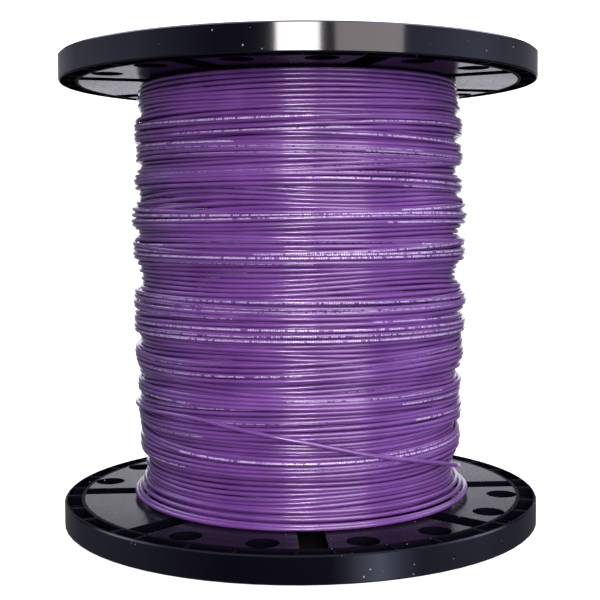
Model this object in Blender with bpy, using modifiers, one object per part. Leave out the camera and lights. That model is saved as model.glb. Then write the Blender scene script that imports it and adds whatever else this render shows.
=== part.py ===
"""A reel of electrical wire: two moulded flanges, a drum, the wound wire and its loose outer end.

The reel stands on its lower flange with its axis along +Z. The origin is on the floor, on the axis,
and the side that faces -Y is the front.
"""

from math import asin, ceil, cos, pi, radians, sin

import bmesh
import bpy
from mathutils import Matrix, Vector

# Overall reel
FLANGE_RADIUS = 0.1524
REEL_WIDTH = 0.296
FLANGE_THICKNESS = 0.0163
EDGE_CHAMFER = 0.0009

# Drum and the bore for the spindle that carries the reel
DRUM_RADIUS = 0.0508
DRUM_WALL = 0.0042
ARBOR_RADIUS = 0.01905
BOSS_HEIGHT = 0.008
BOSS_WALL = 0.004

# Inner face of a flange: rim wall, trough with ribs, ring wall, spoke slots and panels with holes
RIM_WALL = 0.0018
TROUGH_WIDTH = 0.0087
RING_WALL = 0.0021
POCKET_DEPTH = 0.0112
RIB_THICKNESS = 0.0019
SPOKES = 8
SLOT_WIDTH = 0.016
SLOT_START = 0.0085
RIB_FROM_SLOT = radians(4.0)
RIB_FROM_PANEL = radians(5.5)
HOLE_RADIUS = 0.0096
HOLE_OVER_RING = 0.0002
HOLE_FROM_PANEL = radians(10.2)

# Outer face of a flange: shallow fields between a rim band, raised spokes and a hub
FIELD_DEPTH = 0.003
FIELD_EDGE = 0.0015
SPOKE_SKIN = 0.002
HUB_RADIUS = 0.040

# How far each flange is turned about the axis, to the middle of one of its two plain panels
LOWER_TURN = radians(25.5)
UPPER_TURN = radians(-4.5)

# Wire
WIRE_DIAMETER = 0.0027
CLEARANCE = 0.0003
# Foot of the wound wire, spread on the lower flange: shares of the way up from it, and radii there
FOOT_SHARES = (0.000, 0.016, 0.042, 0.075)
FOOT_RADII = (0.1072, 0.1080, 0.1040, 0.1012)
# Bunches of turns above the foot: shares of the way up of the groove under each bunch and of its
# crest, then the radii of the same grooves and crests
BUNCH_SHARES = (
    (0.100, 0.135),
    (0.169, 0.207),
    (0.241, 0.280),
    (0.314, 0.346),
    (0.380, 0.420),
    (0.447, 0.477),
    (0.517, 0.536),
    (0.555, 0.592),
    (0.633, 0.677),
    (0.721, 0.761),
    (0.793, 0.827),
    (0.850, 0.886),
    (0.917, 0.956),
)
BUNCH_RADII = (
    (0.0996, 0.1034),
    (0.1016, 0.1042),
    (0.1010, 0.1044),
    (0.1026, 0.1060),
    (0.1028, 0.1069),
    (0.1043, 0.1068),
    (0.1020, 0.1042),
    (0.1022, 0.1069),
    (0.1022, 0.1076),
    (0.1030, 0.1054),
    (0.1016, 0.1050),
    (0.1022, 0.1053),
    (0.1026, 0.1045),
)
SHOULDER_SHARE = 0.0085
SHOULDER_DROP = 0.0010
TOP_RADIUS = 0.1032
# Route of the loose end: angle about the axis, height above the lower flange, and how far its
# underside stands off the winding
TAIL_ROUTE = (
    (-196.0, 0.0588, 0.0),
    (-174.0, 0.0602, 0.0),
    (-152.0, 0.0610, 0.0),
    (-127.5, 0.0617, 0.0),
    (-112.0, 0.0582, 0.0),
    (-90.0, 0.0511, 0.0),
    (-68.0, 0.0418, 0.0),
    (-52.0, 0.0356, 0.0003),
    (-38.0, 0.0300, 0.0017),
    (-24.0, 0.0238, 0.0062),
)
TAIL_STEP = 2.4 * WIRE_DIAMETER
# How far above and below itself the loose end is carried by the turns
BRIDGE = 0.006
BRIDGE_STEPS = 12

# Fineness of the round shapes
ROUND_STEPS = 72
DRUM_STEPS = 48
WINDING_STEPS = 48
HOLE_STEPS = 16

# Values worked out from the driving dimensions
PANEL_ANGLE = 2 * pi / SPOKES
RIM_INNER = FLANGE_RADIUS - RIM_WALL
RING_OUTER = RIM_INNER - TROUGH_WIDTH
RING_INNER = RING_OUTER - RING_WALL
HOLE_CIRCLE = RING_INNER - HOLE_RADIUS + HOLE_OVER_RING
POCKET_FLOOR = FLANGE_THICKNESS - POCKET_DEPTH
LOWER_FACE = FLANGE_THICKNESS
UPPER_FACE = REEL_WIDTH - FLANGE_THICKNESS
TRAVERSE = UPPER_FACE - LOWER_FACE
BOSS_OUTER = DRUM_RADIUS - DRUM_WALL - CLEARANCE
OVERCUT = 0.001


def new_collection(name):
    """A collection under the scene's own, for the parts or for the cutters."""
    collection = bpy.data.collections.new(name)
    bpy.context.scene.collection.children.link(collection)
    return collection


def new_material(name, colour, roughness, metallic=0.0):
    """A plain Principled material."""
    material = bpy.data.materials.new(name)
    material.use_nodes = True
    shader = material.node_tree.nodes["Principled BSDF"]
    shader.inputs["Base Color"].default_value = (*colour, 1.0)
    shader.inputs["Roughness"].default_value = roughness
    shader.inputs["Metallic"].default_value = metallic
    material.diffuse_color = (*colour, 1.0)
    return material


def add_object(name, mesh, collection):
    """Puts a mesh into the scene as an object."""
    obj = bpy.data.objects.new(name, mesh)
    collection.objects.link(obj)
    return obj


def hide_cutter(obj):
    """A cutter is drawn as wire and isn't rendered."""
    obj.hide_render = True
    obj.display_type = "WIRE"
    return obj


def turned(name, outline, steps, collection):
    """A solid turned about Z from a closed outline of (radius, height), top to bottom outside."""
    mesh = bpy.data.meshes.new(name)
    shape = bmesh.new()
    corners = [shape.verts.new((radius, 0.0, height)) for radius, height in outline]
    for first, second in zip(corners, corners[1:] + corners[:1]):
        shape.edges.new((first, second))
    shape.to_mesh(mesh)
    shape.free()
    obj = add_object(name, mesh, collection)
    screw = obj.modifiers.new("Turn", "SCREW")
    screw.axis = "Z"
    screw.angle = 2 * pi
    screw.screw_offset = 0.0
    screw.steps = steps
    screw.render_steps = steps
    screw.use_merge_vertices = True
    screw.merge_threshold = 0.00001
    screw.use_smooth_shade = True
    return obj


def ring_outline(inner, outer, bottom, top):
    """The outline of a plain ring for turned()."""
    return ((outer, top), (outer, bottom), (inner, bottom), (inner, top))


def cut(target, cutter):
    """Takes a cutter out of an object with an exact Boolean."""
    modifier = target.modifiers.new(f"Cut {cutter.name}", "BOOLEAN")
    modifier.operation = "DIFFERENCE"
    modifier.solver = "EXACT"
    modifier.object = cutter


def side_angle(half_width, radius):
    """How far a straight bar's side lies from its middle line, as an angle at a radius."""
    return asin(half_width / radius)


def arc(radius, start, end):
    """Points along an arc about the axis, at most one round step apart."""
    steps = max(1, ceil(abs(end - start) / (2 * pi / ROUND_STEPS) - 0.001))
    angles = [start + (end - start) * step / steps for step in range(steps + 1)]
    return [(radius * cos(angle), radius * sin(angle)) for angle in angles]


def between_bars(inner, outer, first, second, half):
    """The outline between two radii and the facing sides of two radial bars of one width."""
    outside = arc(outer, first + side_angle(half, outer), second - side_angle(half, outer))
    inside = arc(inner, second - side_angle(half, inner), first + side_angle(half, inner))
    return outside + inside


def along_bar(start, outer, middle, half):
    """The outline of a radial bar that ends on an arc."""
    reach = side_angle(half, outer)
    turn = Matrix.Rotation(middle, 2)
    near = [tuple(turn @ Vector((start, side * half))) for side in (1, -1)]
    return arc(outer, middle - reach, middle + reach) + near


def prisms(name, outlines, bottom, top, collection):
    """Upright prisms on flat outlines, as one cutter."""
    mesh = bpy.data.meshes.new(name)
    shape = bmesh.new()
    for outline in outlines:
        face = shape.faces.new([shape.verts.new((x, y, bottom)) for x, y in outline])
        grown = bmesh.ops.extrude_face_region(shape, geom=[face])["geom"]
        raised = [item for item in grown if isinstance(item, bmesh.types.BMVert)]
        bmesh.ops.translate(shape, verts=raised, vec=(0.0, 0.0, top - bottom))
    bmesh.ops.recalc_face_normals(shape, faces=shape.faces)
    shape.to_mesh(mesh)
    shape.free()
    return hide_cutter(add_object(name, mesh, collection))


def spoke_angles():
    """The middle of each spoke, half a panel on from the middle of a panel."""
    return [(index + 0.5) * PANEL_ANGLE for index in range(SPOKES)]


def rib_angles():
    """Four ribs to a panel: two beside the spoke and two beside the middle of the panel."""
    angles = []
    for spoke in spoke_angles():
        panel = spoke + PANEL_ANGLE / 2
        angles += [spoke - RIB_FROM_SLOT, spoke + RIB_FROM_SLOT]
        angles += [panel - RIB_FROM_PANEL, panel + RIB_FROM_PANEL]
    return angles


def holed_panels():
    """The middle of each panel that has two holes: all but one and the one opposite."""
    return [index * PANEL_ANGLE for index in range(SPOKES) if index % (SPOKES // 2)]


def pocket_cutter(collection):
    """The inner face's pockets: the trough between its ribs, and the slots along the spokes."""
    ribs = sorted(rib_angles())
    following = ribs[1:] + [ribs[0] + 2 * pi]
    half = RIB_THICKNESS / 2
    outlines = [
        between_bars(RING_OUTER, RIM_INNER, rib, next_rib, half)
        for rib, next_rib in zip(ribs, following)
    ]
    outlines += [
        along_bar(DRUM_RADIUS + SLOT_START, RING_INNER, spoke, SLOT_WIDTH / 2)
        for spoke in spoke_angles()
    ]
    return prisms("pocket_cutter", outlines, POCKET_FLOOR, FLANGE_THICKNESS + OVERCUT, collection)


def field_cutter(collection):
    """The shallow fields of the outer face, between the raised spokes."""
    half = SLOT_WIDTH / 2 + SPOKE_SKIN
    outlines = [
        between_bars(HUB_RADIUS, RING_INNER + FIELD_EDGE, spoke, spoke + PANEL_ANGLE, half)
        for spoke in spoke_angles()
    ]
    return prisms("field_cutter", outlines, -OVERCUT, FIELD_DEPTH, collection)


def hole_cutter(collection):
    """Two round holes through each panel that has them."""
    mesh = bpy.data.meshes.new("hole_cutter")
    shape = bmesh.new()
    for panel in holed_panels():
        for side in (-1, 1):
            angle = panel + side * HOLE_FROM_PANEL
            place = Matrix.Rotation(angle, 4, "Z") @ Matrix.Translation(
                (HOLE_CIRCLE, 0.0, FLANGE_THICKNESS / 2)
            )
            bmesh.ops.create_cone(
                shape,
                cap_ends=True,
                segments=HOLE_STEPS,
                radius1=HOLE_RADIUS,
                radius2=HOLE_RADIUS,
                depth=FLANGE_THICKNESS + 2 * OVERCUT,
                matrix=place,
            )
    shape.to_mesh(mesh)
    shape.free()
    return hide_cutter(add_object("hole_cutter", mesh, collection))


def flange_outline():
    """A disc with chamfered edges, the bore, and a boss that centres the drum."""
    boss_top = FLANGE_THICKNESS + BOSS_HEIGHT
    boss_inner = BOSS_OUTER - BOSS_WALL
    return (
        (BOSS_OUTER, boss_top),
        (BOSS_OUTER, FLANGE_THICKNESS),
        (FLANGE_RADIUS - EDGE_CHAMFER, FLANGE_THICKNESS),
        (FLANGE_RADIUS, FLANGE_THICKNESS - EDGE_CHAMFER),
        (FLANGE_RADIUS, EDGE_CHAMFER),
        (FLANGE_RADIUS - EDGE_CHAMFER, 0.0),
        (ARBOR_RADIUS, 0.0),
        (ARBOR_RADIUS, FLANGE_THICKNESS),
        (boss_inner, FLANGE_THICKNESS),
        (boss_inner, boss_top),
    )


def flange_mesh(cutters):
    """The moulding that both flanges share, outer face down, a plain panel towards +X."""
    blank = hide_cutter(turned("flange_blank", flange_outline(), ROUND_STEPS, cutters))
    for make_cutter in (pocket_cutter, field_cutter, hole_cutter):
        cut(blank, make_cutter(cutters))
    depsgraph = bpy.context.evaluated_depsgraph_get()
    mesh = bpy.data.meshes.new_from_object(blank.evaluated_get(depsgraph))
    mesh.name = "flange"
    shape = bmesh.new()
    shape.from_mesh(mesh)
    bmesh.ops.remove_doubles(shape, verts=shape.verts, dist=0.000001)
    shape.to_mesh(mesh)
    shape.free()
    mesh.shade_smooth()
    mesh.set_sharp_from_angle(angle=radians(30))
    return mesh


def make_flanges(parts, cutters, material):
    """The lower flange with its inner face up, and the upper one turned over above it."""
    mesh = flange_mesh(cutters)
    mesh.materials.clear()
    mesh.materials.append(material)
    lower = add_object("flange_lower", mesh, parts)
    lower.matrix_world = Matrix.Rotation(LOWER_TURN, 4, "Z")
    upper = add_object("flange_upper", mesh, parts)
    turn_over = Matrix.Rotation(UPPER_TURN, 4, "Z") @ Matrix.Rotation(pi, 4, "X")
    upper.matrix_world = Matrix.Translation((0.0, 0.0, REEL_WIDTH)) @ turn_over


def make_drum(parts, material):
    """The tube that the wire is wound on, seated on both flanges around their bosses."""
    outline = ring_outline(
        DRUM_RADIUS - DRUM_WALL, DRUM_RADIUS, LOWER_FACE + CLEARANCE, UPPER_FACE - CLEARANCE
    )
    drum = turned("drum", outline, DRUM_STEPS, parts)
    drum.data.materials.append(material)


def winding_points():
    """The outline of the winding as (radius, height), from the lower flange up."""
    outline = list(zip(FOOT_SHARES, FOOT_RADII))
    next_grooves = [groove for groove, crest in BUNCH_SHARES[1:]] + [1.0]
    for shares, radii, next_groove in zip(BUNCH_SHARES, BUNCH_RADII, next_grooves):
        groove, crest = shares
        groove_radius, crest_radius = radii
        shoulder_radius = crest_radius - SHOULDER_DROP
        outline.append((groove, groove_radius))
        outline.append((groove + SHOULDER_SHARE, shoulder_radius))
        outline.append((crest, crest_radius))
        outline.append((next_groove - SHOULDER_SHARE, shoulder_radius))
    outline.append((1.0, TOP_RADIUS))
    bottom = LOWER_FACE + CLEARANCE
    height = TRAVERSE - 2 * CLEARANCE
    return [(radius, bottom + share * height) for share, radius in outline]


def winding_radius(height):
    """How far the winding reaches from the axis at a height above the floor."""
    points = winding_points()
    for (radius, low), (next_radius, high) in zip(points, points[1:]):
        if height <= high:
            share = (height - low) / (high - low)
            return radius + share * (next_radius - radius)
    return points[-1][0]


def make_winding(parts, material):
    """All the wound wire as one turned solid, with the drum through its bore."""
    outside = winding_points()
    bore = DRUM_RADIUS + CLEARANCE
    inside = [(bore, outside[0][1]), (bore, outside[-1][1])]
    winding = turned("wire_winding", outside[::-1] + inside, WINDING_STEPS, parts)
    winding.data.materials.append(material)


def tail_point(angle, height, lift):
    """A point of the loose end's middle line, which bridges the winding's grooves."""
    above_floor = LOWER_FACE + height
    sides = [step / BRIDGE_STEPS for step in range(-BRIDGE_STEPS, BRIDGE_STEPS + 1)]
    reach = max(winding_radius(above_floor + side * BRIDGE) for side in sides)
    reach += CLEARANCE + WIRE_DIAMETER / 2 + lift
    return Vector((reach * cos(radians(angle)), reach * sin(radians(angle)), above_floor))


def smooth_value(values, place):
    """A Catmull-Rom curve through evenly numbered values."""
    index = min(int(place), len(values) - 2)
    share = place - index
    before = values[max(index - 1, 0)]
    start, end = values[index], values[index + 1]
    after = values[min(index + 2, len(values) - 1)]
    return start + 0.5 * share * (
        end - before
        + share * (2 * before - 5 * start + 4 * end - after + share * (3 * (start - end) + after - before))
    )


def tail_points():
    """Evenly spaced points along the loose end."""
    columns = list(zip(*TAIL_ROUTE))
    fine = 40 * (len(TAIL_ROUTE) - 1)
    dense = []
    for step in range(fine + 1):
        place = (len(TAIL_ROUTE) - 1) * step / fine
        angle, height, lift = (smooth_value(column, place) for column in columns)
        dense.append(tail_point(angle, height, max(lift, 0.0)))
    lengths = [0.0]
    for first, second in zip(dense, dense[1:]):
        lengths.append(lengths[-1] + (second - first).length)
    count = max(2, round(lengths[-1] / TAIL_STEP))
    points, index = [], 0
    for step in range(count + 1):
        wanted = lengths[-1] * step / count
        while index < len(dense) - 2 and lengths[index + 1] < wanted:
            index += 1
        share = (wanted - lengths[index]) / (lengths[index + 1] - lengths[index])
        points.append(dense[index].lerp(dense[index + 1], share))
    return points


def make_tail(parts, material):
    """The loose outer end of the wire, lying across the front of the winding."""
    points = tail_points()
    curve = bpy.data.curves.new("wire_tail", "CURVE")
    curve.dimensions = "3D"
    curve.bevel_depth = WIRE_DIAMETER / 2
    curve.bevel_resolution = 2
    curve.use_fill_caps = True
    spline = curve.splines.new("POLY")
    spline.points.add(len(points) - 1)
    for control, point in zip(spline.points, points):
        control.co = (*point, 1.0)
    curve.materials.append(material)
    add_object("wire_tail", curve, parts)


def clear_scene():
    """Removes what the scene holds."""
    for obj in list(bpy.data.objects):
        bpy.data.objects.remove(obj, do_unlink=True)


def main():
    clear_scene()
    parts = new_collection("wire_reel")
    cutters = new_collection("wire_reel_cutters")
    black = new_material("black_moulding", (0.010, 0.010, 0.012), 0.28)
    core = new_material("drum_moulding", (0.013, 0.013, 0.015), 0.35)
    purple = new_material("purple_wire", (0.170, 0.060, 0.270), 0.30)
    loose = new_material("loose_wire", (0.230, 0.110, 0.350), 0.32)
    make_flanges(parts, cutters, black)
    make_drum(parts, core)
    make_winding(parts, purple)
    make_tail(parts, loose)


main()
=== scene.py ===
"""The looks of a reel of electrical wire: its moulded flanges, its many turns and its loose end."""

import math

import bmesh
import bpy
import numpy as np
from mathutils import Matrix, Vector


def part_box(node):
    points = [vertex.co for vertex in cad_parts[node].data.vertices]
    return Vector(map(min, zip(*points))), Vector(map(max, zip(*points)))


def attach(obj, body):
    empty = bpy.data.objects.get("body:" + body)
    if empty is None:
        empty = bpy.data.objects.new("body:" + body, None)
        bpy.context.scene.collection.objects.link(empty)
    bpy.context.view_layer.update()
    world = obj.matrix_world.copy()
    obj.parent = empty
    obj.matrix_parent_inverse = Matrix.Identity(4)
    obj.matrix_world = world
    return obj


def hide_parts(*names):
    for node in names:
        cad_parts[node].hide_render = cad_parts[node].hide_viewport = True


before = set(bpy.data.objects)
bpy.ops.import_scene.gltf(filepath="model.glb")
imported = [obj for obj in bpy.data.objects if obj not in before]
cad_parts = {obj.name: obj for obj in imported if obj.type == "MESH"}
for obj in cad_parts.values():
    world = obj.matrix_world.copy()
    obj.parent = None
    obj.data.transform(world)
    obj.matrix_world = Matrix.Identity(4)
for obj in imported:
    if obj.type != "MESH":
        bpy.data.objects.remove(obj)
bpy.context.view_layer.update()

# Heights of the flanges' inner faces, and the drum's radius
LOWER_FACE = 0.0163
UPPER_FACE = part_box("flange_upper")[1].z - LOWER_FACE
DRUM_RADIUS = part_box("drum")[1].x

# Radii and distances that tell a flange's walls, panels and outer face apart
TROUGH_INNER = 0.1392
PANEL_EDGE = 0.1396
RIM_WALL_INSIDE = 0.1515
MATT_DEPTH = 0.0100
ON_FACE = 0.0002
NEAR_FACE = 0.0009

# Degrees about the axis: how each flange is turned, a panel's width, and the ribs from its middle
LOWER_TURN, UPPER_TURN = 25.5, -4.5
PANEL_ANGLE = 45.0
RIB_ANGLES = (5.5, 18.5)

# The sink mark of a panel with holes: how far out it is, and one degree in radians, rounded
SINK_RADIUS = 0.116
SINK_PER_DEGREE = 0.01745

# Widest bevels asked for on a flange, which the overlap clamp cuts to far less, and sharp angles
SHARP = math.radians(28)
WALL_BEVEL = 0.0007
EDGE_BEVEL = 0.0003
FLANGE_SHARP = math.radians(40)
TUBE_SHARP = math.radians(60)
STRAND_SHARP = math.radians(50)

# The photograph's view
IMAGE_SIZE = 600
SENSOR_WIDTH = 36.0
FOCAL_PIXELS = 1150.2
CENTRE_X = 299.25
CENTRE_Y = 275.9
CAMERA_PLACE = Vector((0.0, -0.7502, 0.1958))
CAMERA_PITCH = 0.0530
CAMERA_ROLL = -0.0060

# Wire and its lay
WIRE = 0.0027
HALF = WIRE / 2
AROUND = 128
BED_TURNS = 90
MAIN_TURNS = 97
MAIN_DEPTH = 0.0034
BED_DEPTH = 0.94 * WIRE
CORE_DEPTH = 1.55 * WIRE
FACE_MARGIN = HALF + 0.0003
EASE_OVER = 0.012
TURN_SMOOTHING = 3
FOOT_TOP = 0.040
FOOT_WAIST = 0.1012

# How the winding's outline is evened out, and where and how finely its crests are looked for
OUTLINE_BLUR = 0.0025
CREST_FROM = 0.020
CREST_TO = 0.004
CREST_STEP = 0.0005
CREST_NEAR = 14

# Turns over the others: how far they stand out and give way, and how they lie beside each other
CROSSING_OUT = 0.0006
CROSSING_GIVE = 0.35
CROSSING_PITCH = 1.02
CROSSING_SPREAD = 0.0004
CROSSING_BEND = (0.0002, 0.0012)
# Bunches on the crests: how far under the crest they start, their slant and their number of turns
BUNCH_DROP = 1.5 * WIRE
BUNCH_SLANT = (0.0003, 0.0020)
BUNCH_COUNT = (3, 6)
# Slanting turns between the bunches: how often, how far above a crest, their slant and number
BETWEEN_CHANCE = 0.62
BETWEEN_RISE = (0.006, 0.012)
BETWEEN_SLANT = (0.0028, 0.0062)
BETWEEN_COUNT = (1, 3)

# Where the print sits around a wire: its drift along a wound layer, its place on a crossing turn
PRINT_DRIFT = 0.02
PRINT_DRIFT_SIZE = 1.1
PRINT_SIDE = 1.2
PRINT_SHIFT = 50.0

# The turned core behind the turns
CORE_GAP = 0.0005
CORE_HEIGHTS = 60
CORE_SIDES = 96
DRUM_CLEARANCE = 0.0003

# The loose loops at the foot: their number, where they start and reach out, and their lift behind
FOOT_TURNS = 4.2
FOOT_START = 0.6
FOOT_FACING = 0.30
FOOT_BACK_LIFT = 0.0030
FOOT_BACK_START = 0.3
FOOT_SMOOTHING = 8
# Shares of the loops' length, and their reach, fan and lift there
FOOT_SHARES = (0.0, 0.06, 0.24, 0.50, 0.74, 0.95, 1.0)
FOOT_REACHES = (0.0985, 0.1005, 0.1022, 0.1046, 0.1076, 0.1078, 0.1000)
FOOT_FANS = (0.0, 0.0, 0.0004, 0.0012, 0.0016, 0.0010, 0.0)
FOOT_LIFTS = (0.0120, 0.0100, 0.0068, 0.0028, 0.0002, 0.0, 0.0)

# The copper strands of the loose end: their thickness, rings around the middle one, and length
STRAND = 0.00037
STRAND_RINGS = ((1, 6), (2, 12))
STRAND_LENGTH = 0.0011
STRAND_INSET = 0.0004

# The loose end's points, and how far and over how many of them its start is pressed in
TAIL_POINTS = 90
TAIL_SMOOTHING = 4
TAIL_SINK = 0.0022
TAIL_SINK_POINTS = 10
# The loose end: angle about the axis, height above the lower flange, and lift off the winding
TAIL_ROUTE = (
    (-196.0, 0.0588, 0.0),
    (-174.0, 0.0602, 0.0),
    (-152.0, 0.0610, 0.0),
    (-127.5, 0.0617, 0.0),
    (-112.0, 0.0582, 0.0),
    (-90.0, 0.0511, 0.0),
    (-68.0, 0.0418, 0.0),
    (-52.0, 0.0356, 0.0003),
    (-38.0, 0.0300, 0.0017),
    (-24.0, 0.0238, 0.0062),
)

# Colours in linear light
DARK_JACKET = (0.130, 0.038, 0.225, 1.0)
PALE_JACKET = (0.190, 0.064, 0.305, 1.0)
PRINT_INK = (0.70, 0.64, 0.84, 1.0)
# Pale of the loose end's tip: the cut's whitening and a painted highlight
CUT_PALE_AND_GLINT = (0.62, 0.56, 0.64, 1.0)
DARK_COPPER = (0.70, 0.32, 0.16, 1.0)
BRIGHT_COPPER = (0.86, 0.45, 0.26, 1.0)
DEEP_BLACK = (0.0020, 0.0018, 0.0045, 1.0)
PALE_BLACK = (0.0045, 0.0042, 0.0080, 1.0)
PANEL_BLACK = (0.016, 0.015, 0.019, 1.0)
DUST = (0.42, 0.41, 0.40, 1.0)
MATT_DARK = (0.009, 0.009, 0.012, 1.0)
MATT_PALE = (0.020, 0.020, 0.025, 1.0)
MATT_MARKS = (0.30, 0.30, 0.31, 1.0)
DRUM_DARK = (0.010, 0.010, 0.011, 1.0)
DRUM_PALE = (0.020, 0.019, 0.021, 1.0)
# The core's purples are painted shade for the depth between the turns
CORE_DARK = (0.030, 0.008, 0.055, 1.0)
CORE_PALE = (0.060, 0.018, 0.100, 1.0)
FLOOR_GREY = (0.8, 0.8, 0.8, 1.0)
WHITE = (1.0, 1.0, 1.0, 1.0)
COOL_ROOM = (0.66, 0.70, 1.0, 1.0)
PALE_ROOM = (0.92, 0.90, 1.0, 1.0)

# The print on the jacket: its steps and the scale of its runs to a metre, then its shares
PRINT_STEPS = 740.0
PRINT_RUNS = 3.4
STROKE_GAP = 0.34
BLANK_SHARE = 0.16
PRINT_WIDTH = 0.40
PRINT_COVER = 0.85

# The room by direction: the stops of its ramps over how far back, up or right a ray goes
BACKDROP_BACK = ((0.963, 0.0), (0.978, 1.0))
BACKDROP_RISE = ((0.25, 0.3), (0.40, 0.68), (0.60, 0.68), (0.68, 1.0), (0.74, 0.9), (0.80, 0.1))
SIDES_BACK = ((0.10, 0.03), (0.22, 0.24), (0.40, 0.52), (0.60, 0.48), (0.78, 0.26), (0.94, 0.21))
SIDES_RISE = ((0.10, 0.25), (0.27, 0.45), (0.40, 0.95), (0.62, 1.0), (0.84, 0.20))
WINDOW_RIGHT = ((0.5, 0.0), (0.78, 0.34))
WINDOW_BACK = ((0.50, 1.0), (0.64, 0.0))
BOUNCE_RIGHT = ((0.22, 0.0), (0.33, 0.15), (0.45, 0.6), (0.56, 1.0), (0.70, 0.3), (0.80, 0.0))
BOUNCE_BACK = ((0.20, 1.0), (0.35, 0.0))
BOUNCE_RISE = ((0.0, 0.5), (0.10, 1.0), (0.48, 1.0), (0.56, 0.0))
CEILING_UP = ((0.45, 0.0), (0.62, 1.0))
CEILING_BACK = ((0.52, 0.0), (0.66, 1.0))
OVERHEAD_UP = ((0.4, 0.0), (1.0, 0.45))
TINT_BACK = ((0.60, 0.0), (0.97, 1.0))
BACKDROP_LEVEL = 1.95
BOUNCE_LEVEL = 2.0
CEILING_LEVEL = 2.6

# The floor and the point that the soft boxes face
FLOOR_RADIUS = 4.0
FLOOR_DROP = 0.0002
LIGHT_AIM = Vector((0.0, 0.0, 0.16))

SEED = 14
rng = np.random.default_rng(SEED)


class Value:
    """A shader output that takes part in Python expressions."""

    def __init__(self, maker, socket):
        self.maker = maker
        self.socket = socket

    def maths(self, operation, first, second=None):
        inputs = {0: first} if second is None else {0: first, 1: second}
        return self.maker.node("ShaderNodeMath", {"operation": operation}, inputs)

    def __add__(self, other):
        return self.maths("ADD", self, other)

    def __radd__(self, other):
        return self.maths("ADD", other, self)

    def __sub__(self, other):
        return self.maths("SUBTRACT", self, other)

    def __rsub__(self, other):
        return self.maths("SUBTRACT", other, self)

    def __mul__(self, other):
        return self.maths("MULTIPLY", self, other)

    def __rmul__(self, other):
        return self.maths("MULTIPLY", other, self)

    def __pow__(self, other):
        return self.maths("POWER", self, other)

    def __mod__(self, other):
        return self.maths("FLOORED_MODULO", self, other)

    def __gt__(self, other):
        return self.maths("GREATER_THAN", self, other)

    def __lt__(self, other):
        return self.maths("LESS_THAN", self, other)

    def __abs__(self):
        return self.maths("ABSOLUTE", self)


class NodeMaker:
    """Adds nodes to one tree."""

    def __init__(self, tree):
        self.tree = tree

    def node(self, kind, settings=None, inputs=None, output=0):
        """Adds a node: its settings first, then the values or links of its sockets."""
        made = self.tree.nodes.new(kind)
        for name, value in (settings or {}).items():
            if name == "stops":
                self.set_stops(made.color_ramp, value)
            else:
                setattr(made, name, value)
        for name, value in (inputs or {}).items():
            if isinstance(value, Value):
                self.tree.links.new(value.socket, made.inputs[name])
            else:
                made.inputs[name].default_value = value
        return Value(self, made.outputs[output])

    @staticmethod
    def set_stops(ramp, stops):
        while len(ramp.elements) > 1:
            ramp.elements.remove(ramp.elements[0])
        for index, (place, grey) in enumerate(stops):
            stop = ramp.elements[0] if index == 0 else ramp.elements.new(place)
            stop.position = place
            stop.color = (grey, grey, grey, 1.0)

    def ramp(self, value, *stops):
        """A grey ramp of (place, grey) stops."""
        return self.node("ShaderNodeValToRGB", {"stops": stops}, {"Fac": value})

    def noise(self, place, scale, detail=2.0):
        inputs = {"Vector": place, "Scale": scale, "Detail": detail}
        return self.node("ShaderNodeTexNoise", None, inputs)

    def stretched(self, place, scale, turn=(0.0, 0.0, 0.0)):
        inputs = {"Vector": place, "Scale": scale, "Rotation": turn}
        return self.node("ShaderNodeMapping", None, inputs)

    def mix(self, share, first, second):
        """Mixes two colours."""
        return self.node(
            "ShaderNodeMix", {"data_type": "RGBA"}, {"Factor": share, 6: first, 7: second}, 2
        )

    def split(self, vector):
        """The three parts of a vector as values."""
        first = self.node("ShaderNodeSeparateXYZ", None, {"Vector": vector})
        return [Value(self, socket) for socket in first.socket.node.outputs]


class Finish(NodeMaker):
    """One material: its nodes, and the sockets that vary over its surface."""

    def __init__(self, name, constants=None):
        self.material = bpy.data.materials.new(name)
        self.material.use_nodes = True
        super().__init__(self.material.node_tree)
        self.shader = self.tree.nodes["Principled BSDF"]
        for socket, value in (constants or {}).items():
            self.shader.inputs[socket].default_value = value

    def feed(self, socket, value):
        """Links a value to a socket of the Principled shader."""
        self.tree.links.new(value.socket, self.shader.inputs[socket])

    def add_matt(self, share, colour):
        """Puts a second shader without gloss where the share is 1."""
        matt = self.tree.nodes.new("ShaderNodeBsdfPrincipled")
        matt.inputs["Specular IOR Level"].default_value = 0.0
        matt.inputs["Roughness"].default_value = 0.6
        self.tree.links.new(colour.socket, matt.inputs["Base Color"])
        both = self.tree.nodes.new("ShaderNodeMixShader")
        self.tree.links.new(share.socket, both.inputs[0])
        self.tree.links.new(self.shader.outputs[0], both.inputs[1])
        self.tree.links.new(matt.outputs[0], both.inputs[2])
        self.tree.links.new(both.outputs[0], self.tree.nodes["Material Output"].inputs["Surface"])

    def object_place(self):
        return self.node("ShaderNodeTexCoord", None, None, "Object")

    def bump(self, height, strength, distance):
        bumped = self.node(
            "ShaderNodeBump", None, {"Height": height, "Strength": strength, "Distance": distance}
        )
        self.feed("Normal", bumped)


def place_camera():
    """The photograph's camera, fitted to both flanges."""
    data = bpy.data.cameras.new("camera")
    data.sensor_fit = "HORIZONTAL"
    data.sensor_width = SENSOR_WIDTH
    data.lens = data.sensor_width * FOCAL_PIXELS / IMAGE_SIZE
    data.shift_x = (IMAGE_SIZE / 2 - CENTRE_X) / IMAGE_SIZE
    data.shift_y = (CENTRE_Y - IMAGE_SIZE / 2) / IMAGE_SIZE
    camera = bpy.data.objects.new("camera", data)
    bpy.context.scene.collection.objects.link(camera)
    aim = Matrix.Rotation(math.pi / 2 - CAMERA_PITCH, 4, "X") @ Matrix.Rotation(CAMERA_ROLL, 4, "Z")
    camera.matrix_world = Matrix.Translation(CAMERA_PLACE) @ aim
    bpy.context.scene.camera = camera


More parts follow.
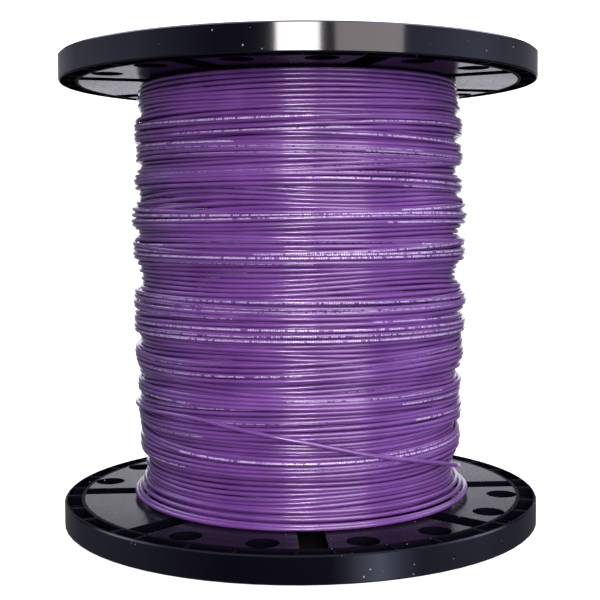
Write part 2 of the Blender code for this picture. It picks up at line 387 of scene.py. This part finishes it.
def add_piece(name, mesh, finish):
    """Puts a finished mesh into the scene as a piece that rides on the reel."""
    piece = bpy.data.objects.new(name, mesh)
    bpy.context.scene.collection.objects.link(piece)
    mesh.materials.clear()
    mesh.materials.append(finish.material)
    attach(piece, "root")
    return piece


# Laying the wire

ANGLES = np.linspace(0.0, 2 * math.pi, AROUND, endpoint=False)
LOWEST = LOWER_FACE + FACE_MARGIN
HIGHEST = UPPER_FACE - FACE_MARGIN


def read_outline():
    """Heights and radii of the winding's outline, from its CAD solid."""
    reach = {}
    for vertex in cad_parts["wire_winding"].data.vertices:
        height = round(vertex.co.z, 5)
        reach[height] = max(reach.get(height, 0.0), math.hypot(vertex.co.x, vertex.co.y))
    heights = sorted(reach)
    return np.array(heights), np.array([reach[height] for height in heights])


OUTLINE_HEIGHTS, OUTLINE_RADII = read_outline()


def outline(heights):
    """Radius of the winding at given heights, without the loose loops that spread at its foot."""
    steps = (-OUTLINE_BLUR, 0.0, OUTLINE_BLUR)
    nearby = [np.interp(heights + step, OUTLINE_HEIGHTS, OUTLINE_RADII) for step in steps]
    radii = np.mean(nearby, axis=0)
    return np.where(heights < FOOT_TOP, np.minimum(radii, FOOT_WAIST), radii)


def wander(count, reach, wavelength):
    """A smooth random drift over angle and height, as a sum of waves."""
    around = rng.integers(1, 5, count)
    climb = rng.uniform(-1.0, 1.0, count) * 2 * math.pi / wavelength
    phase = rng.uniform(0.0, 2 * math.pi, count)
    size = rng.uniform(0.4, 1.0, count) * reach / math.sqrt(count)

    def drift(angles, heights):
        waves = [
            height * np.cos(turns * angles + rise * heights + start)
            for turns, rise, start, height in zip(around, climb, phase, size)
        ]
        return np.sum(waves, axis=0)

    return drift


def ease(heights):
    """0 at the flanges and 1 away from them, so that turns lie flat against a flange."""
    inside = np.minimum(heights - LOWEST, HIGHEST - heights)
    share = np.clip(inside / EASE_OVER, 0.0, 1.0)
    return share * share * (3 - 2 * share)


def helix_heights(turns, drift):
    """Heights of a wound layer, one row to a turn, with a drift that keeps neighbours together."""
    steps = (np.arange(turns * AROUND) / AROUND).reshape(turns, AROUND)
    heights = LOWEST + (HIGHEST - LOWEST) * steps / turns
    heights = heights + ease(heights) * drift(ANGLES, heights)
    return np.clip(heights, LOWEST, HIGHEST)


def lie_on(heights, laid, ground):
    """How far out a turn lies: on the turns under it, wherever it is within a diameter of them."""
    reach = ground.copy()
    for laid_heights, laid_reach in laid:
        gap = laid_heights - heights
        lift = np.sqrt(np.clip(WIRE**2 - gap**2, 0.0, None))
        reach = np.maximum(reach, np.where(np.abs(gap) < WIRE, laid_reach + lift, 0.0))
    return reach


def pressed_in(heights, laid):
    """A crossing turn's reach: on the turns under it, but pressed in where it would stand out."""
    reach = lie_on(heights, laid, outline(heights) - MAIN_DEPTH)
    most = outline(heights) + CROSSING_OUT - HALF
    return np.where(reach > most, most + CROSSING_GIVE * (reach - most), reach)


def smoothed(values, width, cyclic=True):
    """Values along a wire, evened out as its stiffness would."""
    span = np.arange(-3 * width, 3 * width + 1)
    weights = np.exp(-0.5 * (span / width) ** 2)
    mode = "wrap" if cyclic else "edge"
    padded = np.pad(values, 3 * width, mode=mode)
    return np.convolve(padded, weights / weights.sum(), mode="valid")


def lay_bed():
    """The layer below the outer one, which shows in the gaps."""
    heights = helix_heights(BED_TURNS, wander(count=10, reach=0.0010, wavelength=0.030))
    reach = outline(heights) - MAIN_DEPTH - BED_DEPTH
    return heights, reach


def lay_main(bed):
    """The outer layer: every second turn first, and the others in and on the grooves between."""
    heights = helix_heights(MAIN_TURNS, wander(count=26, reach=0.0019, wavelength=0.023))
    ground = outline(heights) - MAIN_DEPTH
    laid = list(zip(*bed))
    reach = np.zeros_like(heights)
    for first in (0, 1):
        rows = range(first, MAIN_TURNS, 2)
        for row in rows:
            reach[row] = lie_on(heights[row], laid, ground[row])
        laid += [(heights[row], reach[row]) for row in rows]
    even = smoothed(reach.ravel(), TURN_SMOOTHING, cyclic=False)
    return heights, even.reshape(heights.shape)


def crest_heights():
    """Heights of the crests of the winding's bunches."""
    heights = np.arange(LOWEST + CREST_FROM, HIGHEST - CREST_TO, CREST_STEP)
    radii = outline(heights)
    return [
        height
        for place, height in enumerate(heights[CREST_NEAR:-CREST_NEAR])
        if radii[place + CREST_NEAR] == radii[place : place + 2 * CREST_NEAR + 1].max()
    ]


def lay_crossings(laid):
    """Turns over the others: a bunch of level ones on each crest, and slanting ones between."""
    groups = []
    for height in crest_heights():
        groups.append((height - BUNCH_DROP, *BUNCH_SLANT, rng.integers(*BUNCH_COUNT)))
        if rng.random() < BETWEEN_CHANCE:
            middle = height + rng.uniform(*BETWEEN_RISE)
            groups.append((middle, *BETWEEN_SLANT, rng.integers(*BETWEEN_COUNT)))
    turns = []
    for middle, least, most, count in groups:
        slant = rng.uniform(least, most)
        facing = rng.uniform(0.0, 2 * math.pi)
        bend = rng.uniform(*CROSSING_BEND)
        bend_facing = rng.uniform(0.0, 2 * math.pi)
        heights = middle + slant * np.cos(ANGLES - facing) + bend * np.cos(2 * ANGLES - bend_facing)
        for beside in range(count):
            spread = CROSSING_SPREAD * beside * np.cos(ANGLES - rng.uniform(0.0, 2 * math.pi))
            beside_heights = heights + beside * CROSSING_PITCH * WIRE + spread
            beside_heights = np.clip(beside_heights, LOWEST, HIGHEST)
            reach = smoothed(pressed_in(beside_heights, laid), TURN_SMOOTHING)
            laid.append((beside_heights, reach))
            turns.append((beside_heights, reach))
    return turns


def path_points(angles, heights, reach):
    """Points of a wire's middle line."""
    return np.stack([reach * np.cos(angles), reach * np.sin(angles), heights], axis=-1)


def tube_mesh(name, strands, resolution, cyclic, printed=True):
    """Round wires along lists of points, with what their print needs kept on every vertex."""
    curve = bpy.data.curves.new(name, "CURVE")
    curve.dimensions = "3D"
    curve.bevel_depth = HALF
    curve.bevel_resolution = resolution
    curve.use_fill_caps = True
    for points in strands:
        spline = curve.splines.new("POLY")
        spline.points.add(len(points) - 1)
        spline.points.foreach_set("co", np.column_stack([points, np.ones(len(points))]).ravel())
        spline.use_cyclic_u = cyclic
    shaper = bpy.data.objects.new(name, curve)
    bpy.context.scene.collection.objects.link(shaper)
    bpy.context.view_layer.update()
    depsgraph = bpy.context.evaluated_depsgraph_get()
    mesh = bpy.data.meshes.new_from_object(shaper.evaluated_get(depsgraph))
    bpy.data.objects.remove(shaper)
    bpy.data.curves.remove(curve)
    mesh.name = name
    if printed:
        mark_print(mesh, strands, 2 * resolution + 4, cyclic)
    mesh.shade_smooth()
    mesh.set_sharp_from_angle(angle=TUBE_SHARP)
    return mesh


def mark_print(mesh, strands, sides, cyclic):
    """Keeps the length along the wire, and how the surface faces its printed side, on each vertex."""
    places = np.zeros(len(mesh.vertices) * 3)
    mesh.vertices.foreach_get("co", places)
    places = places.reshape(-1, 3)
    printed = np.zeros((len(places), 3))
    start = 0
    for points in strands:
        steps = np.linalg.norm(np.diff(points, axis=0), axis=1)
        along = np.concatenate([[0.0], np.cumsum(steps)])
        caps = 0 if cyclic else 2 * sides
        count = caps + len(points) * sides
        index = np.repeat(np.arange(len(points)), sides)
        if caps:
            index = np.concatenate([np.full(sides, len(points) - 1), np.zeros(sides, int), index])
        middle = points[index]
        offset = (places[start : start + count] - middle) / HALF
        outward = middle * (1.0, 1.0, 0.0)
        outward /= np.linalg.norm(outward, axis=1, keepdims=True)
        angle = np.arctan2(offset[:, 2], np.sum(offset * outward, axis=1))
        twist = rng.uniform(0.0, 2 * math.pi)
        drift = np.cumsum(rng.normal(0.0, PRINT_DRIFT, len(points)))
        twist = twist + PRINT_DRIFT_SIZE * drift
        if cyclic:
            twist = np.full(len(points), rng.uniform(-PRINT_SIDE, PRINT_SIDE))
        shift = rng.uniform(0.0, PRINT_SHIFT)
        printed[start : start + count, 0] = along[index] + shift
        printed[start : start + count, 1] = np.cos(angle - twist[index])
        printed[start : start + count, 2] = np.sin(angle - twist[index])
        start += count
    kept = mesh.attributes.new("print_side", "FLOAT_VECTOR", "POINT")
    kept.data.foreach_set("vector", printed.ravel())


# Finishes


def purple_jacket(name, paler=0.0, cut=None):
    """The glossy purple jacket, with broken pale strokes along one side, and paler near a cut end: the
    cut's whitening with a painted highlight over it.
    """
    finish = Finish(name, {"Coat Weight": 0.85, "Coat IOR": 1.6, "Coat Roughness": 0.16})
    place = finish.object_place()
    side = finish.node("ShaderNodeAttribute", {"attribute_name": "print_side"}, None, "Vector")
    along, facing, beside = finish.split(side)
    shade = finish.noise(place, 38.0, 3.0)
    body = finish.mix(finish.ramp(shade, (0.3, paler), (0.7, 1.0)), DARK_JACKET, PALE_JACKET)
    line = finish.node("ShaderNodeCombineXYZ", None, {"X": along})
    height = finish.split(place)[2]
    share_bare = finish.ramp(height, (0.10, 0.53), (0.17, 0.44), (0.235, 0.44), (0.255, 0.62))
    runs = finish.noise(line, PRINT_RUNS, 0.0) > share_bare
    step = along * PRINT_STEPS
    count = step - step % 1.0
    stroke = finish.node("ShaderNodeTexWhiteNoise", {"noise_dimensions": "1D"}, {"W": count})
    half = finish.node(
        "ShaderNodeTexWhiteNoise", {"noise_dimensions": "1D"}, {"W": count + 0.5 * (beside > 0.0)}
    )
    strokes = (step % 1.0 > STROKE_GAP) * (stroke > BLANK_SHARE)
    strokes = strokes * finish.ramp(half, (0.25, 0.35), (0.5, 1.0))
    ink = runs * strokes * (facing > 0.0) * (abs(beside) < PRINT_WIDTH)
    colour = finish.mix(ink * PRINT_COVER, body, PRINT_INK)
    # Near the cut end the colour pales: the cut's whitening and a painted highlight of the tip
    if cut is not None:
        ends = {0: place, 1: cut}
        away = finish.node("ShaderNodeVectorMath", {"operation": "DISTANCE"}, ends, "Value")
        cut_pale_and_glint = finish.ramp(away * 100.0, (0.25, 0.8), (0.60, 0.0))
        colour = finish.mix(cut_pale_and_glint, colour, CUT_PALE_AND_GLINT)
    finish.feed("Base Color", colour)
    grain = finish.noise(finish.stretched(place, (1.0, 1.0, 3.0)), 240.0, 3.0)
    finish.feed("Roughness", finish.ramp(grain, (0.3, 0.30), (0.75, 0.42)))
    finish.bump(grain, 0.25, 0.0002)
    return finish


def bare_copper():
    """Freshly cut copper."""
    finish = Finish("bare_copper", {"Metallic": 1.0})
    place = finish.object_place()
    grain = finish.noise(place, 2600.0, 2.0)
    finish.feed("Base Color", finish.mix(grain, DARK_COPPER, BRIGHT_COPPER))
    finish.feed("Roughness", finish.ramp(grain, (0.3, 0.22), (0.7, 0.36)))
    finish.bump(grain, 0.3, 0.00005)
    return finish


def black_moulding():
    """Glossy black plastic with flow marks, sink marks and dust, and matt on its outer faces."""
    constants = {"Specular IOR Level": 0.03, "Coat IOR": 1.55, "Coat Roughness": 0.10}
    finish = Finish("black_moulding", constants)
    place = finish.object_place()
    across, deep, height = finish.split(place)
    reach = (across * across + deep * deep) ** 0.5
    angle = finish.node("ShaderNodeMath", {"operation": "ARCTAN2"}, {0: deep, 1: across})
    angle = angle * math.degrees(1.0)
    angle = angle - LOWER_TURN + (LOWER_TURN - UPPER_TURN) * (height > 0.1)
    from_panel = abs((angle + PANEL_ANGLE / 2) % PANEL_ANGLE - PANEL_ANGLE / 2)
    holed = abs((angle + 90.0) % 180.0 - 90.0) > PANEL_ANGLE / 2
    from_lower = abs(height - LOWER_FACE)
    from_upper = abs(height - UPPER_FACE)
    on_face = (from_lower < ON_FACE) + (from_upper < ON_FACE)
    panel = on_face * (reach < PANEL_EDGE)
    outside = reach > RIM_WALL_INSIDE
    near_face = (from_lower < NEAR_FACE) + (from_upper < NEAR_FACE)
    wall_top = near_face * (reach > PANEL_EDGE) * (reach < RIM_WALL_INSIDE)
    flow = finish.noise(finish.stretched(place, (6.0, 6.0, 14.0)), 1.6, 4.0)
    scratch = finish.noise(finish.stretched(place, (180.0, 14.0, 60.0), (0.0, 0.0, 0.7)), 4.0, 2.0)
    speck = finish.node(
        "ShaderNodeTexVoronoi", {"feature": "F1"}, {"Vector": place, "Scale": 150.0, "Randomness": 1.0}
    )
    patch = finish.noise(place, 16.0, 2.0)
    dust = (speck < 0.075) * finish.ramp(patch, (0.46, 0.0), (0.58, 1.0))
    outward = reach - SINK_RADIUS
    middle = outward * outward + (from_panel * reach * SINK_PER_DEGREE) ** 2.0
    dimple = panel * holed * finish.ramp(middle * 1.0e5, (0.06, 1.0), (0.16, 0.0))
    inner_ribs, outer_ribs = [
        finish.ramp(abs(from_panel - rib), (0.15, 1.0), (0.5, 0.0)) for rib in RIB_ANGLES
    ]
    ribs = inner_ribs + outer_ribs
    body = finish.mix(flow, DEEP_BLACK, PALE_BLACK)
    body = finish.mix(panel * 0.5, body, PANEL_BLACK)
    finish.feed("Base Color", finish.mix(dust * 0.7, body, DUST))
    rough = finish.ramp(flow, (0.3, 0.12), (0.7, 0.22))
    rough = rough + 0.10 * finish.ramp(scratch, (0.55, 0.0), (0.8, 1.0))
    finish.feed("Roughness", rough + panel * 0.06 + wall_top * 0.45 + dust * 0.4)
    finish.feed("Coat Weight", finish.ramp(outside, (0.0, 0.10), (1.0, 0.95)) - wall_top * 0.10)
    relief = flow + scratch * 0.04 - outside * ribs * 0.05 - dimple * 0.5
    finish.bump(relief, 0.30, 0.0012)
    upper_matt = UPPER_FACE + LOWER_FACE - MATT_DEPTH
    back_face = (reach < RIM_WALL_INSIDE) * ((height < MATT_DEPTH) + (height > upper_matt))
    matt = finish.mix(flow, MATT_DARK, MATT_PALE)
    marks = finish.ramp(scratch, (0.66, 0.0), (0.85, 0.12)) + dust * 0.7
    matt = finish.mix(marks, matt, MATT_MARKS)
    finish.add_matt(back_face, matt)
    return finish


def drum_moulding():
    """The plain black plastic of the drum, seen only through the bore."""
    finish = Finish("drum_moulding")
    place = finish.object_place()
    grain = finish.noise(finish.stretched(place, (1.0, 1.0, 4.0)), 30.0, 4.0)
    finish.feed("Base Color", finish.mix(grain, DRUM_DARK, DRUM_PALE))
    finish.feed("Roughness", finish.ramp(grain, (0.3, 0.30), (0.7, 0.46)))
    finish.bump(grain, 0.2, 0.0005)
    return finish


def shaded_core():
    """Painted shade: the dark depth between the turns, in purples far darker than the jacket's."""
    finish = Finish("shaded_core", {"Roughness": 0.5})
    place = finish.object_place()
    grain = finish.noise(finish.stretched(place, (1.0, 1.0, 12.0)), 40.0, 2.0)
    finish.feed("Base Color", finish.mix(grain, CORE_DARK, CORE_PALE))
    return finish


# Pieces


def lay_winding():
    """The bed, the outer turns and the turns across them, with all that the loose end lies on."""
    bed = lay_bed()
    main = lay_main(bed)
    laid = list(zip(*bed)) + list(zip(*main))
    crossings = lay_crossings(laid)
    return bed, main, crossings, laid


def add_wire(name, lines, resolution, cyclic, finish):
    """Round wires as one piece of the winding."""
    add_piece(name, tube_mesh(name, lines, resolution, cyclic), finish)


def make_winding(finish, core_finish, bed, main, crossings):
    """The core, the bed, the outer turns and the turns across them."""
    core = add_piece("wound_core", core_mesh(), core_finish)
    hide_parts("wire_winding")
    rows = np.tile(ANGLES, (BED_TURNS, 1))
    bed_line = path_points(rows, *bed).reshape(-1, 3)
    add_wire("wire_bed", [bed_line], 1, False, finish)
    rows = np.tile(ANGLES, (MAIN_TURNS, 1))
    main_line = path_points(rows, *main).reshape(-1, 3)
    add_wire("wire_turns", [main_line], 2, False, finish)
    lines = [path_points(ANGLES, heights, reach) for heights, reach in crossings]
    add_wire("wire_crossings", lines, 2, True, finish)


def core_mesh():
    """A turned body that fills the winding behind its outer turns, around the drum."""
    shape = bmesh.new()
    heights = np.linspace(LOWER_FACE + CORE_GAP, UPPER_FACE - CORE_GAP, CORE_HEIGHTS)
    radii = outline(heights) - MAIN_DEPTH - CORE_DEPTH
    bore = DRUM_RADIUS + DRUM_CLEARANCE
    profile = [(radius, height) for radius, height in zip(radii, heights)]
    profile += [(bore, heights[-1]), (bore, heights[0])]
    corners = [shape.verts.new((radius, 0.0, height)) for radius, height in profile]
    edges = [shape.edges.new(pair) for pair in zip(corners, corners[1:] + corners[:1])]
    bmesh.ops.spin(
        shape,
        geom=corners + edges,
        cent=(0.0, 0.0, 0.0),
        axis=(0.0, 0.0, 1.0),
        angle=2 * math.pi,
        steps=CORE_SIDES,
        use_merge=True,
    )
    bmesh.ops.remove_doubles(shape, verts=shape.verts, dist=0.00001)
    bmesh.ops.recalc_face_normals(shape, faces=shape.faces)
    mesh = bpy.data.meshes.new("wound_core")
    shape.to_mesh(mesh)
    shape.free()
    mesh.shade_smooth()
    return mesh


def make_foot_loops(finish):
    """Loose loops that have slipped down and spread on the lower flange, widest at the right."""
    steps = np.arange(int(FOOT_TURNS * AROUND))
    angles = 2 * math.pi * steps / AROUND + FOOT_START
    share = steps / steps[-1]
    right = 0.5 + 0.5 * np.cos(angles + FOOT_FACING)
    back = 0.5 + 0.5 * np.sin(angles)
    fans = np.interp(share, FOOT_SHARES, FOOT_FANS)
    lifts = np.interp(share, FOOT_SHARES, FOOT_LIFTS)
    reach = np.interp(share, FOOT_SHARES, FOOT_REACHES) - fans * (1 - right)
    heights = LOWEST + lifts + FOOT_BACK_LIFT * back * (FOOT_BACK_START + share)
    reach = smoothed(reach, FOOT_SMOOTHING, cyclic=False)
    line = path_points(angles, heights, reach)
    add_wire("wire_foot_loops", [line], 2, False, finish)


def smooth_route(route, count):
    """Points of a Catmull-Rom curve through a route."""
    route = np.array(route)
    place = np.linspace(0, len(route) - 1, count)
    index = np.minimum(place.astype(int), len(route) - 2)
    share = (place - index)[:, None]
    before, start = route[np.maximum(index - 1, 0)], route[index]
    end, after = route[index + 1], route[np.minimum(index + 2, len(route) - 1)]
    cubic = 3 * (start - end) + after - before
    square = 2 * before - 5 * start + 4 * end - after
    return start + 0.5 * share * (end - before + share * (square + share * cubic))


def strands_mesh(line):
    """The nineteen copper strands, cut flush with the jacket at the loose end."""
    tip = Vector(line[-1])
    outward = (tip - Vector(line[-2])).normalized()
    stand = outward.to_track_quat("Z", "Y").to_matrix().to_4x4()
    places = [(0.0, 0.0)]
    for ring, count in STRAND_RINGS:
        reach = ring * STRAND
        turns = [2 * math.pi * step / count for step in range(count)]
        places += [(reach * math.cos(turn), reach * math.sin(turn)) for turn in turns]
    shape = bmesh.new()
    for across, beside in places:
        inset = Matrix.Translation((across, beside, -STRAND_INSET))
        move = Matrix.Translation(tip) @ stand @ inset
        bmesh.ops.create_cone(
            shape,
            cap_ends=True,
            segments=10,
            radius1=STRAND / 2,
            radius2=STRAND / 2,
            depth=STRAND_LENGTH,
            matrix=move,
        )
    mesh = bpy.data.meshes.new("copper_strands")
    shape.to_mesh(mesh)
    shape.free()
    mesh.shade_smooth()
    mesh.set_sharp_from_angle(angle=STRAND_SHARP)
    return mesh


def make_tail(laid):
    """The loose outer end, across the front of the winding and clear of it at its tip."""
    angle, height, lift = smooth_route(TAIL_ROUTE, TAIL_POINTS).T
    lift = lift - np.interp(np.arange(TAIL_POINTS), (0, TAIL_SINK_POINTS), (TAIL_SINK, 0.0))
    angles = np.radians(angle)
    heights = LOWER_FACE + height
    column = np.mod(np.round(angles / (2 * math.pi) * AROUND).astype(int), AROUND)
    under = [(laid_heights[column], laid_reach[column]) for laid_heights, laid_reach in laid]
    reach = lie_on(heights, under, outline(heights) - MAIN_DEPTH)
    reach = smoothed(reach, TAIL_SMOOTHING, cyclic=False) + lift
    line = path_points(angles, heights, reach)
    finish = purple_jacket("loose_end_jacket", 0.2, tuple(line[-1]))
    mesh = tube_mesh("loose_end", [line], 3, cyclic=False, printed=False)
    tail = add_piece("loose_end", mesh, finish)
    strands = add_piece("copper_strands", strands_mesh(line), bare_copper())
    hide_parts("wire_tail")


def bevel(shape, edges, offset, segments):
    """Bevels some edges, all by no more than the tightest place among them allows."""
    bmesh.ops.bevel(
        shape,
        geom=edges,
        offset=offset,
        offset_type="OFFSET",
        segments=segments,
        profile=0.5,
        affect="EDGES",
        clamp_overlap=True,
        material=-1,
    )


def moulding_mesh(name, inner_face):
    """A copy of a flange's CAD solid, with bevels that clamping leaves too small to be seen."""
    shape = bmesh.new()
    shape.from_mesh(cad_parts[name].data)
    bmesh.ops.remove_doubles(shape, verts=shape.verts, dist=0.000005)
    bmesh.ops.dissolve_limit(
        shape, angle_limit=math.radians(0.5), verts=shape.verts, edges=shape.edges
    )
    wall_tops = []
    for edge in shape.edges:
        on_top = all(abs(vertex.co.z - inner_face) < 0.0001 for vertex in edge.verts)
        far_out = all(vertex.co.xy.length > TROUGH_INNER for vertex in edge.verts)
        if on_top and far_out and edge.is_manifold and edge.is_convex:
            if edge.calc_face_angle() > SHARP:
                wall_tops.append(edge)
    bevel(shape, wall_tops, WALL_BEVEL, 3)
    sharp = [edge for edge in shape.edges if edge.is_manifold and edge.calc_face_angle() > SHARP]
    bevel(shape, sharp, EDGE_BEVEL, 2)
    bmesh.ops.recalc_face_normals(shape, faces=shape.faces)
    mesh = bpy.data.meshes.new(name + "_moulding")
    shape.to_mesh(mesh)
    shape.free()
    for left_over in ("custom_normal", "UVMap"):
        if left_over in mesh.attributes:
            mesh.attributes.remove(mesh.attributes[left_over])
    mesh.shade_smooth()
    mesh.set_sharp_from_angle(angle=FLANGE_SHARP)
    return mesh


def make_flanges(finish):
    """Both flanges' mouldings, each in place of its CAD solid."""
    for name, inner_face in (("flange_lower", LOWER_FACE), ("flange_upper", UPPER_FACE)):
        mesh = moulding_mesh(name, inner_face)
        piece = add_piece(name + "_moulding", mesh, finish)
        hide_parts(name)
        even = piece.modifiers.new("even_shading", "WEIGHTED_NORMAL")
        even.keep_sharp = True


# Surroundings


def make_floor():
    """A pale floor that fades into the white around it, and that the glossy reel doesn't mirror."""
    shape = bmesh.new()
    bmesh.ops.create_circle(shape, cap_ends=True, segments=96, radius=FLOOR_RADIUS)
    mesh = bpy.data.meshes.new("floor")
    shape.to_mesh(mesh)
    shape.free()
    floor = bpy.data.objects.new("floor", mesh)
    bpy.context.scene.collection.objects.link(floor)
    floor.location.z = -FLOOR_DROP
    floor.visible_glossy = False
    floor.visible_diffuse = False
    constants = {"Roughness": 0.7, "Base Color": FLOOR_GREY, "Emission Strength": 1.0}
    finish = Finish("pale_floor", constants)
    across, deep, _ = finish.split(finish.object_place())
    squares = across * across + deep * deep
    distance = finish.node("ShaderNodeMath", {"operation": "SQRT"}, {0: squares})
    glow = finish.ramp(distance * 0.5, (0.07, 0.72), (0.20, 1.0))
    finish.feed("Emission Color", glow)
    mesh.materials.append(finish.material)


def light_panel(name, azimuth, distance, height, width, tall, radiance, colour):
    """A soft box that faces the reel: azimuth in degrees to the right of the camera."""
    data = bpy.data.lights.new(name, "AREA")
    data.shape = "RECTANGLE"
    data.size = width
    data.size_y = tall
    data.energy = radiance * math.pi * width * tall
    data.color = colour
    light = bpy.data.objects.new(name, data)
    bpy.context.scene.collection.objects.link(light)
    angle = math.radians(azimuth)
    place = Vector((distance * math.sin(angle), -distance * math.cos(angle), height))
    toward = LIGHT_AIM - place
    facing = toward.to_track_quat("-Z", "Y").to_matrix().to_4x4()
    light.matrix_world = Matrix.Translation(place) @ facing


def make_lights():
    """A room with a bright backdrop and ceiling behind the reel, and two soft boxes before it."""
    world = bpy.data.worlds.new("studio")
    bpy.context.scene.world = world
    world.use_nodes = True
    maker = NodeMaker(world.node_tree)
    direction = maker.node("ShaderNodeTexCoord", None, None, "Generated")
    right, back, up = maker.split(direction)
    round_back = back * 0.5 + 0.5
    rise = up + 0.5
    backdrop = maker.ramp(round_back + right * 0.01, *BACKDROP_BACK)
    backdrop = backdrop * maker.ramp(rise, *BACKDROP_RISE)
    sides = maker.ramp(round_back, *SIDES_BACK)
    window = maker.ramp(right, *WINDOW_RIGHT) * maker.ramp(round_back, *WINDOW_BACK)
    sides = (sides + window) * maker.ramp(rise, *SIDES_RISE)
    bounce = maker.ramp(right, *BOUNCE_RIGHT)
    bounce = bounce * maker.ramp(round_back, *BOUNCE_BACK)
    bounce = bounce * maker.ramp(rise, *BOUNCE_RISE)
    ceiling = maker.ramp(up, *CEILING_UP) * maker.ramp(round_back, *CEILING_BACK)
    level = backdrop * BACKDROP_LEVEL + sides + bounce * BOUNCE_LEVEL + ceiling * CEILING_LEVEL
    level = level + maker.ramp(up, *OVERHEAD_UP)
    seen = maker.node("ShaderNodeLightPath", None, None, "Is Camera Ray")
    level = maker.node("ShaderNodeMath", {"operation": "MAXIMUM"}, {0: level, 1: seen})
    background = world.node_tree.nodes["Background"]
    world.node_tree.links.new(level.socket, background.inputs["Strength"])
    tint = maker.mix(maker.ramp(round_back, *TINT_BACK), COOL_ROOM, PALE_ROOM)
    tint = maker.mix(seen, tint, WHITE)
    world.node_tree.links.new(tint.socket, background.inputs["Color"])
    light_panel("key_panel", 0.0, 1.75, 0.42, 0.56, 0.52, 25.0, (1.0, 0.95, 0.96))
    light_panel("right_panel", 31.0, 1.75, 1.10, 1.10, 2.40, 3.9, (1.0, 0.91, 0.91))


def main():
    place_camera()
    bpy.context.scene.view_settings.view_transform = "Standard"
    bed, main_layer, crossings, laid = lay_winding()
    make_tail(laid)
    jacket = purple_jacket("purple_jacket")
    make_winding(jacket, shaded_core(), bed, main_layer, crossings)
    make_foot_loops(jacket)
    make_flanges(black_moulding())
    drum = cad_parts["drum"]
    drum.data.materials.clear()
    drum.data.materials.append(drum_moulding().material)
    make_floor()
    make_lights()
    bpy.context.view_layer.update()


main()
